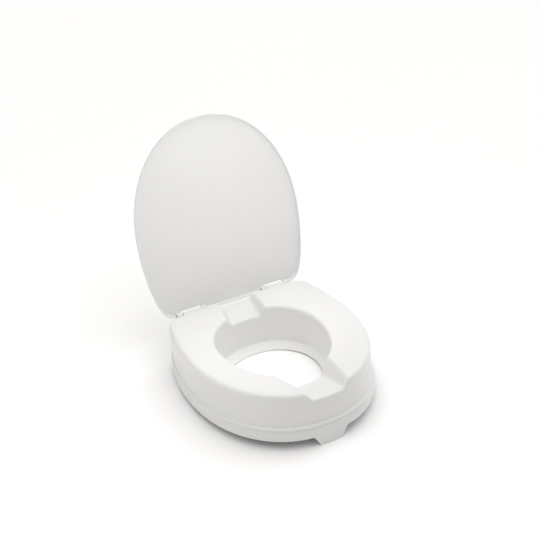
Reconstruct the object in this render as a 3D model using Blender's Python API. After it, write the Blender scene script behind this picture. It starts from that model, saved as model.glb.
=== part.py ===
"""Raised toilet seat with a hinged lid and two clamp brackets.

The seat is three nodes: the hollow upper moulding, the band that goes down round the bowl, and the splash guard
that hangs inside it.

Metres, +Z up. X runs to the sitter's left and right, -Y is the front of the seat, and the hinge is at +Y.
The origin is under the middle of the object's box with the lid open, level with the tip of the front lug.
"""

import math

import bmesh
import bpy
from mathutils import Matrix, Vector

# ---------------------------------------------------------------- driving dimensions
SEAT_HALF_WIDTH = 0.1850
SEAT_FRONT = 0.2310            # from the seat's widest line to its front
SEAT_BACK = 0.1560             # from the seat's widest line to its straight rear edge
SEAT_WIDEST_Y = 0.0120
WALL = 0.0035                  # wall of the seat moulding

# the seat's outline is two half ovals; each pair is at the band, and at the shoulder
FRONT_POWER = (2.17, 2.10)     # roundness of the front half
REAR_TAPER = (0.285, 0.305)    # the sides draw in towards the rear along an arc of this reach
REAR_POWER = 12.0              # nearly square rear corners

LUG_DROP = 0.0210              # the lug reaches this far below the band
BAND_BOTTOM = LUG_DROP
SHELF_Z = 0.0470               # underside of the shelf that stands on the bowl
RIDGE_Z = 0.0455
TOP_Z = 0.1180
SHOULDER = 0.0100              # radius of the outer top edge
REAR_TIGHT = (0.120, 0.150)    # between these the shoulder shrinks to its size along the rear
REAR_SHOULDER = 0.45           # of SHOULDER
FRONT_SHOULDER = 0.50          # of SHOULDER, across the front recess
DISH = 0.0100                  # fall of the top towards the opening
OPENING_EDGE = 0.0080          # radius of the opening's top edge
LEDGE_Z = 0.0250
LIP_Z = 0.0180
LIP_THICKNESS = 0.0030
DRAFT = 0.0050                 # the outer wall leans in by this much at the shoulder
WALL_FOOT = (0.0050, 0.0498)   # inset and height of the outer wall's foot, above the ridge's slope
GROOVE = (0.0028, 0.0422)      # inset and height of the groove under the ridge
FOOT_EDGE = (0.0001, 0.0028)   # inset and height of the thicker edge round the band's foot
BAND_INSET = (0.0016, 0.0042)  # inset of the band, and its height above the foot, over that edge
SKIRT_INSET = WALL + 0.0010    # inner face of the band
SEAM_SHARE = 0.74              # how far down the splash wall the splash guard starts

# the two recesses in the top; each pair is at the rim, and at the opening
FRONT_DIP = (0.0165, 0.0300)
FRONT_FLOOR = (0.0275, 0.0335)     # half-widths
FRONT_EDGE = (0.0495, 0.0615)
REAR_DIP = (0.0120, 0.0200)
REAR_FLOOR = (0.0265, 0.0285)
REAR_EDGE = (0.0455, 0.0485)
LUG_HALF = (0.0190, 0.0395)

# half-width, reach to the front, reach to the rear, and middle line of each oval in the opening
OPENING_TOP = (0.1085, 0.1400, 0.1090, 0.0110)
OPENING_FOOT = (0.1100, 0.1270, 0.1040, 0.0090)
APERTURE = (0.0960, 0.0980, 0.0900, 0.0)
LEDGE_FILLET = 0.0050
LEDGE_RUN = 0.0040             # the ledge is this wide before it slopes to the lip
LIP_EDGE = 0.0020

HINGE_Y = 0.1685
HINGE_Z = 0.1140
BARREL_RADIUS = 0.0048
PIN_RADIUS = 0.0023
GAP = 0.0003                   # between pieces that touch
KNUCKLE_X = (0.0755, 0.1180)
KNUCKLE_ROOT = (0.0180, 0.0140)    # the knuckle's root runs this far in front of and below the axis
KNUCKLE_TOP = 0.0028           # top of the root, above the axis
INNER_EAR_X = (0.0655, 0.0745)
OUTER_EAR_X = (0.1190, 0.1310)
EAR_RADIUS = 0.0050
PIN_CHAMFER = 0.0005
NOTCH = (-0.0070, 0.0200)      # the lid is cut away over each knuckle, from here to past its rear edge

LID_HALF_WIDTH = 0.1820
LID_LENGTH = 0.3890            # from the hinge axis to the lid's tip
LID_WIDEST = 0.1550            # from the hinge axis to the lid's widest line
LID_TAIL = 0.0045              # the lid runs this far behind the axis
LID_TAPER = 0.3050
LID_INNER = 0.0055             # inner face, from the hinge axis
LID_THICKNESS = 0.0030
LID_ROUND = 0.0015
LID_LIP = 0.0060               # depth of the rim lip below the inner face
LID_LIP_WIDTH = 0.0025
LID_OPEN = math.radians(102.2)

CLAMP_ANGLE = math.radians(35.0)   # each clamp stands this far round from the front
POCKET = (0.1430, 0.1990)      # reach of the clamp pocket from the seat's middle
POCKET_HALF = 0.0260
POCKET_ROOF = 0.0800
POCKET_WALL = 0.0030
BOLT_REACH = 0.1765
BOLT_RADIUS = 0.0030
BOLT_HEAD_RADIUS = 0.0060
BOLT_HEAD_TOP = (0.0045, 0.0032)   # radius and height of the head's flat top
BOLT_HEAD_RIM = 0.0020
BOLT_TAIL = 0.0060             # the bolt shows this much below the nut
BOLT_CHAMFER = 0.0008
HEAD_HOLE_REACH = 0.0075       # from the end of the slide to the middle of the hole the head goes in by
SLIDE_IN = 0.0100
SLIDE_OUT = 0.0060
BRACKET_FOOT = 0.0115
BRACKET_PLATE = 0.0040
BRACKET_HALF = 0.0200
BRACKET_END = 0.1900           # reach of the bracket's top leg
TOE_END = 0.1760               # reach of the bracket's toe
BRACKET_BEND = 0.0060          # outer radius of the bracket's two bends
LEG_REACH = 0.1545
PAD_THICKNESS = 0.0035
PAD_TOP = 0.0440
PAD_MARGIN = 0.0030            # the pad starts this far above the toe
PAD_CHAMFER = 0.0008
RIM_PAD_THICKNESS = 0.0025
RIM_PAD_INSET = (0.0200, 0.0360)
FRONT_PAD_STATIONS = (9, 14)   # counted along the seat's side from its front
REAR_PAD_STATIONS = (19, 24)

WASHER_TOP = POCKET_ROOF - GAP - BRACKET_PLATE - GAP
WASHER_THICKNESS = 0.0012
WASHER_RADIUS = 0.0070
NUT_TOP = WASHER_TOP - WASHER_THICKNESS - GAP
NUT_HEIGHT = 0.0080
NUT_RADII = (0.0048, 0.0066)   # at its foot, and at its top
WING_HALF = 0.0012             # half the thickness of a wing
# one wing's outline: reach from the bolt, and height above the nut's foot
WING_OUTLINE = ((0.0035, 0.0074), (0.0035, 0.0010), (0.0090, -0.0040), (0.0118, -0.0052),
                (0.0142, -0.0036), (0.0148, -0.0006), (0.0136, 0.0022), (0.0095, 0.0062))

CUT_PAST = 0.0008              # a cutter passes the face it opens by at least this much
CUT_DEEP = 0.0020

ROUND_SIDES = 24
QUARTER_STEPS = 90
SIDE_STATIONS = 26
FRONT_X = (0.0, 0.012, 0.019, 0.0235, 0.0280, 0.0325, 0.0365, 0.0405, 0.0450, 0.0490, 0.0535, 0.0580, 0.0640)
REAR_X = (0.052, 0.0445, 0.0405, 0.0370, 0.0335, 0.030, 0.015, 0.0)

LID_BACK = HINGE_Y + (LID_LENGTH - LID_ROUND) * math.sin(LID_OPEN - math.pi / 2) \
    + (LID_INNER + LID_THICKNESS) * math.cos(LID_OPEN - math.pi / 2)
MIDDLE_Y = 0.5 * (SEAT_WIDEST_Y - SEAT_FRONT + LID_BACK)


# ---------------------------------------------------------------- outlines
def oval(half_width, front, back, middle, front_power=2.1, back_power=2.1, taper=1e6):
    """The right half of a closed oval, from its front tip round to its rear middle."""
    points = []
    for wide, run in quarter(front_power):
        points.append((half_width * wide, middle - front * run))
    for wide, run in reversed(quarter(back_power)):
        narrow = math.sqrt(1 - (run * back / taper) ** 2)
        points.append((half_width * wide * narrow, middle + back * run))
    return points


def quarter(power):
    """A quarter of a superellipse of unit half-axes, evenly spread, from (0, 1) to (1, 0)."""
    diagonal = 0.5 ** (1 / power)
    steps = [diagonal * step / QUARTER_STEPS for step in range(QUARTER_STEPS + 1)]
    first = [(step, (1 - step ** power) ** (1 / power)) for step in steps]
    return first + [(run, wide) for wide, run in first[-2::-1]]


def at_x(points, x):
    """Where a run of points crosses x, as an index with a fraction."""
    for index in range(len(points) - 1):
        low, high = sorted((points[index][0], points[index + 1][0]))
        if low <= x <= high and high > low:
            return index + (x - points[index][0]) / (points[index + 1][0] - points[index][0])
    raise ValueError("outline does not reach x")


def at_index(points, place):
    index = min(int(place), len(points) - 2)
    part = place - index
    return tuple(a + (b - a) * part for a, b in zip(points[index], points[index + 1]))


def stations(points):
    """A full ring: set x places at the front and rear, even steps along each side."""
    half = len(points) // 2
    front = [at_index(points, at_x(points, x)) for x in FRONT_X]
    rear_part = points[half:]
    rear = [at_index(rear_part, at_x(rear_part, x)) for x in REAR_X]
    side = [front[-1]] + points[int(at_x(points, FRONT_X[-1])) + 1:half + int(at_x(rear_part, REAR_X[0])) + 1]
    side.append(rear[0])
    lengths = [0.0]
    for a, b in zip(side, side[1:]):
        lengths.append(lengths[-1] + math.dist(a, b))
    even = []
    for step in range(1, SIDE_STATIONS + 1):
        wanted = lengths[-1] * step / (SIDE_STATIONS + 1)
        index = max(i for i, run in enumerate(lengths) if run <= wanted)
        part = (wanted - lengths[index]) / (lengths[index + 1] - lengths[index])
        even.append(at_index(side, index + part))
    right = front + even + rear
    return right + [(-x, y) for x, y in right[-2:0:-1]]


def outer(inset, z=SHELF_Z):
    """The seat's outline at a height, drawn in by inset."""
    high = min(max((z - SHELF_Z) / (TOP_Z - SHOULDER - SHELF_Z), 0.0), 1.0)
    return stations(oval(SEAT_HALF_WIDTH - inset, SEAT_FRONT - inset, SEAT_BACK - inset, SEAT_WIDEST_Y,
                         mix(FRONT_POWER, high), REAR_POWER, mix(REAR_TAPER, high)))


def opening(share, grow=0.0):
    """The splash wall, from the opening's edge (share 0) down to the ledge (share 1)."""
    wide, front, back, middle = (mix(pair, share) for pair in zip(OPENING_TOP, OPENING_FOOT))
    return stations(oval(wide + grow, front + grow, back + grow, middle))


def aperture(grow=0.0):
    wide, front, back, middle = APERTURE
    return stations(oval(wide + grow, front + grow, back + grow, middle))


def mix(pair, share):
    return pair[0] + (pair[1] - pair[0]) * share


def between(ring_a, ring_b, share):
    return [(a[0] + (b[0] - a[0]) * share, a[1] + (b[1] - a[1]) * share) for a, b in zip(ring_a, ring_b)]


def ease(x, floor, edge):
    """1 inside floor, 0 outside edge, with a smooth fall between."""
    share = min(max((edge - abs(x)) / (edge - floor), 0.0), 1.0)
    return share ** 3 * (6 * share * share - 15 * share + 10)


# ---------------------------------------------------------------- mesh tools
def material(name, color, roughness, metallic=0.0):
    made = bpy.data.materials.new(name)
    made.use_nodes = True
    shader = made.node_tree.nodes["Principled BSDF"]
    shader.inputs["Base Color"].default_value = (*color, 1.0)
    shader.inputs["Roughness"].default_value = roughness
    shader.inputs["Metallic"].default_value = metallic
    return made


def add_object(name, mesh, frame, look=None):
    made = bpy.data.objects.new(name, mesh)
    bpy.context.collection.objects.link(made)
    made.parent = frame
    if look:
        mesh.materials.append(look)
        mesh.shade_smooth()
        mesh.set_sharp_from_angle(angle=math.radians(35))
    return made


def from_bmesh(name, work):
    bmesh.ops.recalc_face_normals(work, faces=work.faces)
    mesh = bpy.data.meshes.new(name)
    work.to_mesh(mesh)
    work.free()
    return mesh


def loft(work, rings, closed=False):
    """Joins rings of 3-D points by quads, and caps the two ends unless the rings come round."""
    made = [[work.verts.new(point) for point in ring] for ring in rings]
    count = len(made[0])
    last = len(made) if closed else len(made) - 1
    for level in range(last):
        low, high = made[level], made[(level + 1) % len(made)]
        for i in range(count):
            j = (i + 1) % count
            work.faces.new((low[i], low[j], high[j], high[i]))
    if not closed:
        work.faces.new(reversed(made[0]))
        work.faces.new(made[-1])


def prism(work, outline, low, high, place=Matrix.Identity(4)):
    """A straight solid on an outline in X and Y, from z=low to z=high, moved by place."""
    loft(work, [[place @ Vector((x, y, z)) for x, y in outline] for z in (low, high)])


def circle(radius, middle=(0.0, 0.0), sides=ROUND_SIDES):
    return [(middle[0] + radius * math.cos(2 * math.pi * i / sides),
             middle[1] + radius * math.sin(2 * math.pi * i / sides)) for i in range(sides)]


def rectangle(low_x, high_x, low_y, high_y):
    return [(low_x, low_y), (high_x, low_y), (high_x, high_y), (low_x, high_y)]


def arc(middle, radius, first, last, steps):
    return [(middle[0] + radius * math.cos(math.radians(first + (last - first) * i / steps)),
             middle[1] + radius * math.sin(math.radians(first + (last - first) * i / steps)))
            for i in range(steps + 1)]


def boolean(target, tool, operation):
    tool.hide_render = True
    tool.display_type = 'WIRE'
    step = target.modifiers.new(operation.lower(), 'BOOLEAN')
    step.operation = operation
    step.solver = 'EXACT'
    step.object = tool


def across(work, outline, low_x, high_x):
    """A prism along X whose outline is given in Y and Z."""
    loft(work, [[(x, y, z) for y, z in outline] for x in (low_x, high_x)])


def clamp_place(side):
    """Local +X points out from the seat's middle along one clamp, side +1 right and -1 left."""
    turn = -math.pi / 2 + side * CLAMP_ANGLE
    return Matrix.Translation((0.0, SEAT_WIDEST_Y, 0.0)) @ Matrix.Rotation(turn, 4, 'Z')


# ---------------------------------------------------------------- seat moulding
def seat_ring(points, z, amount=0.0, share=0.0, lug=0.0):
    """A ring of the moulding: amount of the recesses' fall, as deep and wide as they are at share."""
    ring = []
    for x, y in points:
        if y < 0:
            fall = lug * ease(x, *LUG_HALF)
            fall += amount * mix(FRONT_DIP, share) * ease(x, mix(FRONT_FLOOR, share), mix(FRONT_EDGE, share))
        else:
            fall = amount * mix(REAR_DIP, share) * ease(x, mix(REAR_FLOOR, share), mix(REAR_EDGE, share))
        ring.append((x, y, z - fall))
    return ring


def shoulder_size(x, y):
    """The shoulder's radius as a share of SHOULDER: tighter along the rear and across the front recess."""
    if y < 0:
        return 1 - (1 - FRONT_SHOULDER) * ease(x, FRONT_FLOOR[0], FRONT_EDGE[0])
    return 1 - (1 - REAR_SHOULDER) * (1 - ease(y, *REAR_TIGHT))


def shoulder(degrees):
    """A ring of the rounded upper edge, from the wall (0 degrees) to the top (90)."""
    angle = math.radians(degrees)
    ring = []
    for (wall_x, wall_y), (rim_x, rim_y) in zip(outer(DRAFT, TOP_Z), outer(DRAFT + SHOULDER, TOP_Z)):
        size = shoulder_size(wall_x, wall_y)
        share = size * (1 - math.cos(angle))
        drop = size * SHOULDER * (1 - math.sin(angle))
        (x, y, z), = seat_ring([(wall_x + (rim_x - wall_x) * share, wall_y + (rim_y - wall_y) * share)],
                               TOP_Z - drop, 1.0)
        ring.append((x, y, z))
    return ring


def deck(share, edge_ring, rim_ring):
    """A ring of the top, from the shoulder (share 0) to the opening's edge (share 1)."""
    z = TOP_Z - DISH * share ** 1.6
    return seat_ring(between(rim_ring, edge_ring, share), z, 1.0, share)


def splash_wall(share, grow=0.0):
    """A ring of the splash wall, from just under its top edge (share 0) to the ledge's fillet (share 1)."""
    high, low = TOP_Z - DISH - OPENING_EDGE, LEDGE_Z + LEDGE_FILLET
    return seat_ring(opening(0.95 * share ** 0.87, grow), high + (low - high) * share, (1 - share) ** 1.4, 1.0)


def seat_skin():
    """The outside of the upper moulding, as rings from its seam up and over to the seam at the splash guard."""
    rim = [(x, y) for x, y, z in shoulder(90)]
    edge = opening(0.0, OPENING_EDGE)
    rings = [seat_ring(outer(GAP), SHELF_Z), seat_ring(outer(*WALL_FOOT), WALL_FOOT[1])]
    rings += [shoulder(degrees) for degrees in (0, 30, 60)]
    rings += [deck(share, edge, rim) for share in (0.0, 0.35, 0.7, 1.0)]
    for degrees in (35, 90):
        angle = math.radians(degrees)
        rings.append(seat_ring(opening(0.0, OPENING_EDGE * (1 - math.sin(angle))),
                               TOP_Z - DISH - OPENING_EDGE * (1 - math.cos(angle)), 1.0, 1.0))
    rings += [splash_wall(0.48), seat_ring(opening(SEAM_SHARE), SHELF_Z)]
    return rings


def band_rings():
    """The band below the seam, with the ridge at its top and the lug at its front."""
    return [seat_ring(outer(SKIRT_INSET), BAND_BOTTOM, lug=LUG_DROP),
            seat_ring(outer(FOOT_EDGE[0]), BAND_BOTTOM, lug=LUG_DROP),
            seat_ring(outer(FOOT_EDGE[0]), BAND_BOTTOM + FOOT_EDGE[1], lug=LUG_DROP),
            seat_ring(outer(BAND_INSET[0]), BAND_BOTTOM + BAND_INSET[1]),
            seat_ring(outer(GROOVE[0]), GROOVE[1]),
            seat_ring(outer(0.0), 0.5 * (GROOVE[1] + SHELF_Z)),
            seat_ring(outer(0.0), SHELF_Z - GAP),
            seat_ring(outer(SKIRT_INSET), SHELF_Z - GAP)]


def guard_rings():
    """The lower splash wall, its ledge and its lip."""
    under = LEDGE_Z - LIP_THICKNESS
    return [seat_ring(opening(SEAM_SHARE), SHELF_Z - GAP),
            seat_ring(opening(0.95), LEDGE_Z + LEDGE_FILLET),
            seat_ring(opening(1.0, -LEDGE_RUN), LEDGE_Z),
            seat_ring(aperture(LIP_EDGE), LIP_Z + 0.3 * LIP_THICKNESS),
            seat_ring(aperture(), LIP_Z - 0.4 * LIP_THICKNESS),
            seat_ring(aperture(LIP_EDGE), LIP_Z - LIP_THICKNESS),
            seat_ring(opening(1.0, WALL - LEDGE_RUN), under),
            seat_ring(opening(0.95, WALL), under + LEDGE_FILLET + 0.5 * LIP_THICKNESS),
            seat_ring(opening(SEAM_SHARE, WALL), SHELF_Z - GAP)]


def seat_hollow():
    """The closed space between the top, the shelf, the outer wall and the splash wall."""
    rim = [(x, y) for x, y, z in shoulder(90)]
    edge = opening(0.0, OPENING_EDGE)
    corner_z = TOP_Z - SHOULDER - WALL
    rings = [seat_ring(outer(2 * WALL), SHELF_Z + WALL),
             seat_ring(outer(DRAFT + 1.5 * WALL, corner_z), corner_z, 1.0)]
    for share in (0.05, 0.5, 0.95):
        rings.append([(x, y, z - WALL) for x, y, z in deck(share, edge, rim)])
    rings += [seat_ring(opening(0.0, WALL), TOP_Z - DISH - 3 * WALL, 1.0, 1.0),
              splash_wall(0.48, WALL),
              seat_ring(opening(SEAM_SHARE, WALL), SHELF_Z + WALL)]
    return rings


def knuckle_outline():
    """The barrel of the hinge and its root in the seat's shoulder, in Y and Z."""
    barrel = arc((HINGE_Y, HINGE_Z), BARREL_RADIUS, 90, -90, 10)
    inside = HINGE_Y - KNUCKLE_ROOT[0]
    foot_z = HINGE_Z - KNUCKLE_ROOT[1]
    return [(inside, HINGE_Z + KNUCKLE_TOP)] + barrel + [(HINGE_Y - 0.5 * KNUCKLE_ROOT[0], foot_z),
                                                        (inside, foot_z)]


def make_ring(name, rings, frame, look):
    work = bmesh.new()
    loft(work, rings, closed=True)
    return add_object(name, from_bmesh(name, work), frame, look)


def make_seat(frame, look):
    work = bmesh.new()
    loft(work, seat_skin(), closed=True)
    seat = add_object("seat_shell", from_bmesh("seat_shell", work), frame, look)

    work = bmesh.new()
    loft(work, seat_hollow(), closed=True)
    hollow = add_object("cut_hollow", from_bmesh("cut_hollow", work), frame)

    walls = bmesh.new()
    pockets = bmesh.new()
    for side in (1, -1):
        place = clamp_place(side)
        prism(walls, rectangle(POCKET[0] - POCKET_WALL, POCKET[1] + POCKET_WALL,
                               -POCKET_HALF - POCKET_WALL, POCKET_HALF + POCKET_WALL),
              BAND_BOTTOM, POCKET_ROOF + POCKET_WALL, place)
        prism(pockets, rectangle(*POCKET, -POCKET_HALF, POCKET_HALF), SHELF_Z - CUT_DEEP, POCKET_ROOF, place)
    boolean(hollow, add_object("cut_walls", from_bmesh("cut_walls", walls), frame), 'DIFFERENCE')
    boolean(seat, hollow, 'DIFFERENCE')
    boolean(seat, add_object("cut_pockets", from_bmesh("cut_pockets", pockets), frame), 'DIFFERENCE')

    keyholes = bmesh.new()
    for side in (1, -1):
        prism(keyholes, keyhole_outline(), POCKET_ROOF - CUT_DEEP, POCKET_ROOF + POCKET_WALL + CUT_DEEP,
              clamp_place(side))
    boolean(seat, add_object("cut_keyholes", from_bmesh("cut_keyholes", keyholes), frame), 'DIFFERENCE')

    knuckles = bmesh.new()
    bores = bmesh.new()
    for low, high in (KNUCKLE_X, (-KNUCKLE_X[1], -KNUCKLE_X[0])):
        across(knuckles, knuckle_outline(), low, high)
        across(bores, circle(PIN_RADIUS + GAP, (HINGE_Y, HINGE_Z)), low - CUT_DEEP, high + CUT_DEEP)
    boolean(seat, add_object("add_knuckles", from_bmesh("add_knuckles", knuckles), frame), 'UNION')
    boolean(seat, add_object("cut_bores", from_bmesh("cut_bores", bores), frame), 'DIFFERENCE')
    return seat


def keyhole_outline():
    """A slot for the bolt's shank, and beyond it the round hole that lets the head in."""
    half = BOLT_RADIUS + GAP
    inner = arc((BOLT_REACH - SLIDE_IN, 0.0), half, 90, 270, 8)
    hole = BOLT_HEAD_RADIUS + CUT_PAST
    hole_x = BOLT_REACH + SLIDE_OUT + HEAD_HOLE_REACH
    reach = math.degrees(math.asin(half / hole))
    return inner + arc((hole_x, 0.0), hole, 180 + reach, 540 - reach, 16)


# ---------------------------------------------------------------- lid
def lid_ring(inset, z):
    """The lid lies closed here, with the hinge axis at the origin."""
    points = oval(LID_HALF_WIDTH - inset, LID_LENGTH - LID_WIDEST - inset, LID_WIDEST + LID_TAIL - inset,
                  -LID_WIDEST, back_power=REAR_POWER, taper=LID_TAPER)
    return [(x, y, z) for x, y in stations(points)]


def ear_outline():
    """A round eye on the axis and its root in the lid's panel, in Y and Z."""
    root = LID_INNER + 0.5 * LID_THICKNESS
    return arc((0.0, 0.0), EAR_RADIUS, 0, -180, 10) + [(-EAR_RADIUS, root), (EAR_RADIUS, root)]


def make_lid(frame, look):
    top, foot = LID_INNER + LID_THICKNESS, LID_INNER - LID_LIP
    ease_in = 0.3 * LID_LIP_WIDTH
    work = bmesh.new()
    loft(work, [lid_ring(LID_LIP_WIDTH + ease_in, LID_INNER),
                lid_ring(LID_LIP_WIDTH, LID_INNER - ease_in),
                lid_ring(LID_LIP_WIDTH - 0.5 * ease_in, foot),
                lid_ring(0.5 * ease_in, foot),
                lid_ring(0.0, foot + ease_in),
                lid_ring(0.0, top - LID_ROUND),
                lid_ring(0.4 * LID_ROUND, top - 0.4 * LID_ROUND),
                lid_ring(LID_ROUND, top)])
    lid = add_object("lid", from_bmesh("lid", work), frame, look)
    lid.location = (0.0, HINGE_Y, HINGE_Z)
    lid.rotation_euler = (-LID_OPEN, 0.0, 0.0)

    notches = bmesh.new()
    ears = bmesh.new()
    bores = bmesh.new()
    for side in (1, -1):
        low, high = sorted((side * INNER_EAR_X[1], side * OUTER_EAR_X[0]))
        across(notches, rectangle(*NOTCH, -NOTCH[1], NOTCH[1]), low, high)
        for ear in (INNER_EAR_X, OUTER_EAR_X):
            low, high = sorted((side * ear[0], side * ear[1]))
            across(ears, ear_outline(), low, high)
            across(bores, circle(PIN_RADIUS + GAP), low - CUT_DEEP, high + CUT_DEEP)
    for name, part, operation in (("cut_notches", notches, 'DIFFERENCE'), ("add_ears", ears, 'UNION'),
                                  ("cut_ear_bores", bores, 'DIFFERENCE')):
        tool = add_object(name, from_bmesh(name, part), frame)
        tool.parent = lid
        boolean(lid, tool, operation)
    return lid


def make_pin(name, side, frame, look):
    """A plain headless pin with chamfered ends, through both ears and the barrel between them."""
    low, high, chamfer = INNER_EAR_X[0] + PIN_CHAMFER, OUTER_EAR_X[1] - PIN_CHAMFER, PIN_CHAMFER
    work = bmesh.new()
    loft(work, [[(side * x, y, z) for y, z in circle(radius)]
                for x, radius in ((low, PIN_RADIUS - chamfer), (low + chamfer, PIN_RADIUS),
                                  (high - chamfer, PIN_RADIUS), (high, PIN_RADIUS - chamfer))])
    pin = add_object(name, from_bmesh(name, work), frame, look)
    pin.location = (0.0, HINGE_Y, HINGE_Z)
    return pin


# ---------------------------------------------------------------- clamps
def clamp_object(name, work, side, frame, look):
    """Places a piece that was made along local +X on its clamp, with its origin on the bolt."""
    bmesh.ops.translate(work, verts=work.verts, vec=(-BOLT_REACH, 0.0, 0.0))
    made = add_object(name, from_bmesh(name, work), frame, look)
    made.matrix_local = clamp_place(side) @ Matrix.Translation((BOLT_REACH, 0.0, 0.0))
    return made


def sideways(work, outline, half):
    """A prism along local Y whose outline is given in X and Z."""
    loft(work, [[(x, y, z) for x, z in outline] for y in (half, -half)])


def bracket_outline():
    """The arm in local X and Z: a leg under the pocket's roof, a long leg down, and a toe that turns out."""
    top, plate, bend = POCKET_ROOF - GAP, BRACKET_PLATE, BRACKET_BEND
    inner = bend - plate
    outline = [(BRACKET_END, top - plate), (BRACKET_END, top)]
    outline += arc((LEG_REACH + bend, top - bend), bend, 90, 180, 5)
    outline += arc((LEG_REACH + bend, BRACKET_FOOT + bend), bend, 180, 270, 5)
    outline += [(TOE_END, BRACKET_FOOT), (TOE_END, BRACKET_FOOT + plate)]
    outline += arc((LEG_REACH + bend, BRACKET_FOOT + bend), inner, 270, 180, 3)
    outline += arc((LEG_REACH + bend, top - bend), inner, 180, 90, 3)
    return outline


def make_bracket(name, side, frame, look):
    work = bmesh.new()
    sideways(work, bracket_outline(), BRACKET_HALF)
    bracket = clamp_object(name, work, side, frame, look)
    hole = bmesh.new()
    top = POCKET_ROOF - GAP
    prism(hole, circle(BOLT_RADIUS + GAP), top - BRACKET_PLATE - CUT_DEEP, top + CUT_DEEP)
    tool = add_object("cut_" + name, from_bmesh("cut_" + name, hole), frame)
    tool.parent = bracket
    boolean(bracket, tool, 'DIFFERENCE')
    return bracket


def make_bracket_pad(name, side, frame, look):
    low_x = LEG_REACH + BRACKET_PLATE + GAP
    outline = rectangle(low_x, low_x + PAD_THICKNESS, BRACKET_FOOT + BRACKET_PLATE + PAD_MARGIN, PAD_TOP)
    work = bmesh.new()
    sideways(work, outline, BRACKET_HALF - PAD_CHAMFER)
    bmesh.ops.bevel(work, geom=list(work.edges), offset=PAD_CHAMFER, segments=1, affect='EDGES')
    return clamp_object(name, work, side, frame, look)


def turned(work, rings, closed=False):
    """A solid of revolution about the bolt, from (radius, z) pairs."""
    loft(work, [[(BOLT_REACH + x, y, z) for x, y in circle(radius)] for radius, z in rings], closed)


def make_bolt(name, side, frame, look):
    """The head lies on the pocket's roof inside the seat, and the shank hangs through the slot."""
    head_z = POCKET_ROOF + POCKET_WALL + GAP
    end = NUT_TOP - NUT_HEIGHT - BOLT_TAIL
    work = bmesh.new()
    turned(work, [(BOLT_RADIUS - BOLT_CHAMFER, end), (BOLT_RADIUS, end + BOLT_CHAMFER), (BOLT_RADIUS, head_z),
                  (BOLT_HEAD_RADIUS, head_z), (BOLT_HEAD_RADIUS, head_z + BOLT_HEAD_RIM),
                  (BOLT_HEAD_TOP[0], head_z + BOLT_HEAD_TOP[1])])
    return clamp_object(name, work, side, frame, look)


def make_washer(name, side, frame, look):
    low, hole = WASHER_TOP - WASHER_THICKNESS, BOLT_RADIUS + GAP
    work = bmesh.new()
    turned(work, [(hole, low), (WASHER_RADIUS, low), (WASHER_RADIUS, WASHER_TOP), (hole, WASHER_TOP)], True)
    return clamp_object(name, work, side, frame, look)


def make_wing_nut(name, side, frame, look):
    low = NUT_TOP - NUT_HEIGHT
    foot, crown = NUT_RADII
    work = bmesh.new()
    turned(work, [(foot, low), (foot + 0.5 * BOLT_CHAMFER, low + BOLT_CHAMFER), (crown, NUT_TOP - BOLT_CHAMFER),
                  (crown, NUT_TOP)])
    nut = clamp_object(name, work, side, frame, look)
    for way, label in ((1, "_wing_a"), (-1, "_wing_b")):
        wing = bmesh.new()
        loft(wing, [[(way * x, y, low + z) for x, z in WING_OUTLINE] for y in (WING_HALF, -WING_HALF)])
        tool = add_object("add_" + name + label, from_bmesh("add_" + name + label, wing), frame)
        tool.parent = nut
        boolean(nut, tool, 'UNION')
    bore = bmesh.new()
    prism(bore, circle(BOLT_RADIUS + GAP), low - CUT_DEEP, NUT_TOP + CUT_DEEP)
    tool = add_object("cut_" + name, from_bmesh("cut_" + name, bore), frame)
    tool.parent = nut
    boolean(nut, tool, 'DIFFERENCE')
    return nut


# ---------------------------------------------------------------- rim pads
def make_rim_pad(name, side, run, frame, look):
    """A curved soft strip stuck under the shelf, between two stations of the seat's side."""
    near, far = (outer(inset) for inset in RIM_PAD_INSET)
    top, foot = SHELF_Z - GAP, SHELF_Z - GAP - RIM_PAD_THICKNESS
    rings = []
    for index in range(len(FRONT_X) + run[0], len(FRONT_X) + run[1] + 1):
        (near_x, near_y), (far_x, far_y) = near[index], far[index]
        rings.append([(side * near_x, near_y, foot), (side * near_x, near_y, top),
                      (side * far_x, far_y, top), (side * far_x, far_y, foot)])
    work = bmesh.new()
    loft(work, rings)
    return add_object(name, from_bmesh(name, work), frame, look)


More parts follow.
